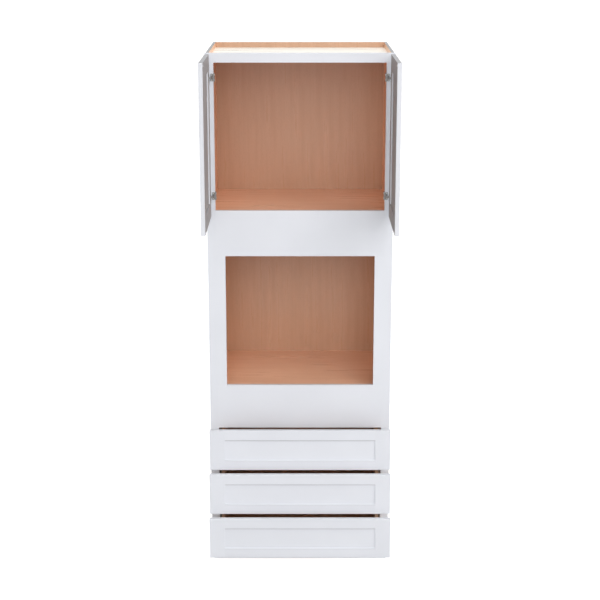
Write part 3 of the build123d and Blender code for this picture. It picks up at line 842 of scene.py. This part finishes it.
class CABINET_OT_hinge_screws(bpy.types.Operator):
    """Screw the hinge cups to the doors and the clips to the stiles"""

    bl_idname = "cabinet.hinge_screws"
    bl_label = "Hinge Screws"

    def execute(self, context):
        sizes = context.scene.oven_cabinet_hardware
        flat = (sizes.flat_radius, sizes.flat_height)
        for sign, side in SIDES:
            low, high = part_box(f"door_{side}_hinge_cups")
            face_x = low.x if sign > 0 else high.x
            cup_y = (low.y + high.y) / 2
            places = [(face_x, cup_y, z) for z in self.beside_hinges(CUP_SCREW_RISE)]
            inward = (-sign, 0, 0)
            name = f"cup_screws_{side}"
            screw_heads(name, places, inward, f"door_{side}", flat)
        heights = self.beside_hinges(CLIP_SCREW_RISE)
        clip_y = (FRONT_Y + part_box("hinge_clips")[1].y) / 2
        clip_x = STILE_X - CLIP_PLATE
        places = [(sign * clip_x, clip_y, z) for sign, _ in SIDES for z in heights]
        inward = [(-sign, 0, 0) for sign, _ in SIDES for z in heights]
        head = (sizes.clip_radius, sizes.screw_height)
        screw_heads("clip_screws", places, inward, "cabinet", head)
        lip_x, lip_y = STILE_X + ADJUSTER_INSET, FRONT_Y - CLIP_LIP
        places = [(sign * lip_x, lip_y, z) for sign, _ in SIDES for z in heights]
        head = (sizes.adjuster_radius, sizes.flat_height)
        screw_heads("clip_adjusters", places, (0, -1, 0), "cabinet", head)
        return {"FINISHED"}

    @staticmethod
    def beside_hinges(rise):
        """Heights that far under and over each hinge, whose middles the pins' ends give."""
        low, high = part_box("hinge_pins")
        middles = (low.z + HALF_PIN, high.z - HALF_PIN)
        return [middle + way * rise for middle in middles for way in (-1, 1)]


class CABINET_OT_drawer_screws(bpy.types.Operator):
    """Screw the fronts to the boxes and the slides to the sides"""

    bl_idname = "cabinet.drawer_screws"
    bl_label = "Drawer Screws"

    def execute(self, context):
        sizes = context.scene.oven_cabinet_hardware
        large = (sizes.screw_radius, sizes.screw_height)
        flat = (sizes.flat_radius, sizes.flat_height)
        for n in DRAWERS:
            body = f"drawer_{n}"
            low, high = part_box(f"drawer_{n}_box_ends")
            inner_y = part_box(f"drawer_{n}_box_bottom")[0].y + BOX_GROOVE
            heights = [low.z + rise for rise in FRONT_SCREW_RISES]
            places = [(sign * FRONT_SCREW_X, inner_y, z) for sign, _ in SIDES for z in heights]
            screw_heads(f"{body}_front_screws", places, (0, 1, 0), body, large)
            member_x = high.x + SLIDE_SHEET
            low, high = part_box(f"drawer_{n}_slide_members")
            middle_y, middle_z = (low.y + high.y) / 2, (low.z + high.z) / 2
            along = (low.y + SLIDE_SCREW_MARGIN, middle_y, high.y - SLIDE_SCREW_MARGIN)
            places = [(sign * member_x, y, middle_z) for sign, _ in SIDES for y in along]
            outward = [(sign, 0, 0) for sign, _ in SIDES for y in along]
            screw_heads(f"{body}_slide_screws", places, outward, body, flat)
        return {"FINISHED"}


class CABINET_OT_bumpers(bpy.types.Operator):
    """Stick bumpers to the backs of the doors and drawer fronts"""

    bl_idname = "cabinet.bumpers"
    bl_label = "Bumpers"

    def execute(self, context):
        for sign, side in SIDES:
            low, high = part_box(f"door_{side}_meeting_stile")
            inner_x = low.x if sign > 0 else high.x
            heights = (low.z + BUMPER_INSET, high.z - BUMPER_INSET)
            places = [(inner_x, low.y + BUMPER_INSET, z) for z in heights]
            bumper_domes(f"door_{side}_bumpers", places, (-sign, 0, 0), f"door_{side}")
        for n in DRAWERS:
            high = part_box(f"drawer_{n}_front_stiles")[1]
            place = np.array([STILE_X + HALF_STILE, high.y, high.z - BUMPER_INSET])
            places = [place * (sign, 1, 1) for sign, _ in SIDES]
            bumper_domes(f"drawer_{n}_bumpers", places, (0, 1, 0), f"drawer_{n}")
        return {"FINISHED"}


def hang_lamp(name, lamp, power):
    """A soft square lamp of the given watts that faces the lit point and isn't seen."""
    turn, rise = radians(lamp.azimuth), radians(lamp.elevation)
    towards = [np.cos(rise) * np.sin(turn), -np.cos(rise) * np.cos(turn), np.sin(rise)]
    place = np.array(LIT_POINT) + lamp.distance * np.array(towards)
    light = bpy.data.lights.new(name, "AREA")
    light.shape = "SQUARE"
    light.size = lamp.size
    light.energy = power
    holder = bpy.data.objects.new(name, light)
    matrix = frames_towards(np.array([towards]), np.zeros(1))[0]
    rows = [[*map(float, matrix[row]), float(place[row])] for row in range(3)]
    holder.matrix_world = Matrix([*rows, [0, 0, 0, 1]])
    holder.visible_camera = False
    bpy.context.scene.collection.objects.link(holder)


class CABINET_OT_studio(bpy.types.Operator):
    """Set up the floor, the lamps, the white surroundings and the camera"""

    bl_idname = "cabinet.studio"
    bl_label = "Studio"

    def execute(self, context):
        studio = context.scene.oven_cabinet_studio
        self.place_camera(context.scene, studio)
        self.lay_floor(studio)
        self.light_world(context.scene, studio)
        for title, lamp in LAMPS.items():
            hang_lamp(f"{title}_lamp", lamp, getattr(studio, f"{title}_power"))
        context.scene.view_settings.view_transform = "Standard"
        return {"FINISHED"}

    @staticmethod
    def place_camera(scene, studio):
        lens = bpy.data.cameras.new("Camera")
        lens.sensor_width = SENSOR_WIDTH
        lens.lens = studio.focal
        lens.clip_end = FAR_CLIP
        camera = bpy.data.objects.new("Camera", lens)
        camera.location = (0, -studio.camera_y, studio.camera_z)
        camera.rotation_euler = (radians(90) - studio.camera_pitch, 0, 0)
        scene.collection.objects.link(camera)
        scene.camera = camera

    @staticmethod
    def seen_directly(tree):
        """1 for rays from the camera, in a mirror or through glass."""
        rays = add_node(tree, "ShaderNodeLightPath").outputs
        glossy = maths(tree, "MAXIMUM", rays["Is Glossy Ray"], rays["Is Transmission Ray"])
        return maths(tree, "MAXIMUM", rays["Is Camera Ray"], glossy)

    def lay_floor(self, studio):
        """A wide pale floor that glows towards the camera and keeps the shadow."""
        roughness = 0.9
        mesh = bpy.data.meshes.new("studio_floor")
        corners = np.array([(-1, -1, 0), (1, -1, 0), (1, 1, 0), (-1, 1, 0)]) * FLOOR_HALF
        mesh.from_pydata(corners.tolist(), [], [(0, 1, 2, 3)])
        floor = bpy.data.objects.new("studio_floor", mesh)
        bpy.context.scene.collection.objects.link(floor)
        material, tree, shader = blank_material("Studio floor")
        shader.inputs["Base Color"].default_value = solid_colour(studio.floor)
        shader.inputs["Roughness"].default_value = roughness
        shader.inputs["Specular IOR Level"].default_value = 0.0
        shader.inputs["Emission Color"].default_value = (1, 1, 1, 1)
        glow = maths(tree, "MULTIPLY", self.seen_directly(tree), studio.floor_glow)
        tree.links.new(glow, shader.inputs["Emission Strength"])
        mesh.materials.append(material)

    def light_world(self, scene, studio):
        """White where it is seen, and elsewhere a light from above and behind.

        light = above max(z, 0) + behind max(y, 0), where (x, y, z) is the direction.
        """
        world = bpy.data.worlds.new("Studio")
        world.use_nodes = True
        tree = world.node_tree
        tree.nodes.clear()
        coordinates = add_node(tree, "ShaderNodeTexCoord").outputs["Generated"]
        parts = add_node(tree, "ShaderNodeSeparateXYZ", {"Vector": coordinates}).outputs
        overhead = maths(tree, "MAXIMUM", parts["Z"], 0.0)
        behind = maths(tree, "MAXIMUM", parts["Y"], 0.0)
        light = maths(tree, "MULTIPLY", overhead, studio.from_above)
        light = maths(tree, "MULTIPLY_ADD", behind, studio.from_behind, light)
        strength = maths(tree, "MAXIMUM", light, self.seen_directly(tree))
        inputs = {"Color": (1, 1, 1, 1), "Strength": strength}
        background = add_node(tree, "ShaderNodeBackground", inputs)
        add_node(tree, "ShaderNodeOutputWorld", {"Surface": background.outputs[0]})
        scene.world = world


STEPS = (
    CABINET_OT_studio,
    CABINET_OT_paint_fronts,
    CABINET_OT_print_maple,
    CABINET_OT_finish_boxes,
    CABINET_OT_plate_metal,
    CABINET_OT_hinge_screws,
    CABINET_OT_drawer_screws,
    CABINET_OT_bumpers,
)


class CABINET_PT_panel(bpy.types.Panel):
    """Every size, colour and step in the sidebar"""

    bl_label = "Oven Cabinet"
    bl_space_type = "VIEW_3D"
    bl_region_type = "UI"
    bl_category = "Cabinet"

    def draw(self, context):
        for title, settings in SETTINGS.items():
            column = self.layout.column(align=True)
            column.label(text=settings.__doc__)
            for name in settings.__annotations__:
                column.prop(getattr(context.scene, title), name)
        for step in STEPS:
            self.layout.operator(step.bl_idname)


CLASSES = (*SETTINGS.values(), *STEPS, CABINET_PT_panel)


def register():
    for kind in CLASSES:
        bpy.utils.register_class(kind)
    for title, settings in SETTINGS.items():
        setattr(bpy.types.Scene, title, PointerProperty(type=settings))


def unregister():
    for title in SETTINGS:
        delattr(bpy.types.Scene, title)
    for kind in reversed(CLASSES):
        bpy.utils.unregister_class(kind)


def main():
    """Register the add-on and run its steps in order."""
    register()
    for step in STEPS:
        area, name = step.bl_idname.split(".")
        getattr(getattr(bpy.ops, area), name)()


if __name__ == "__main__":
    main()
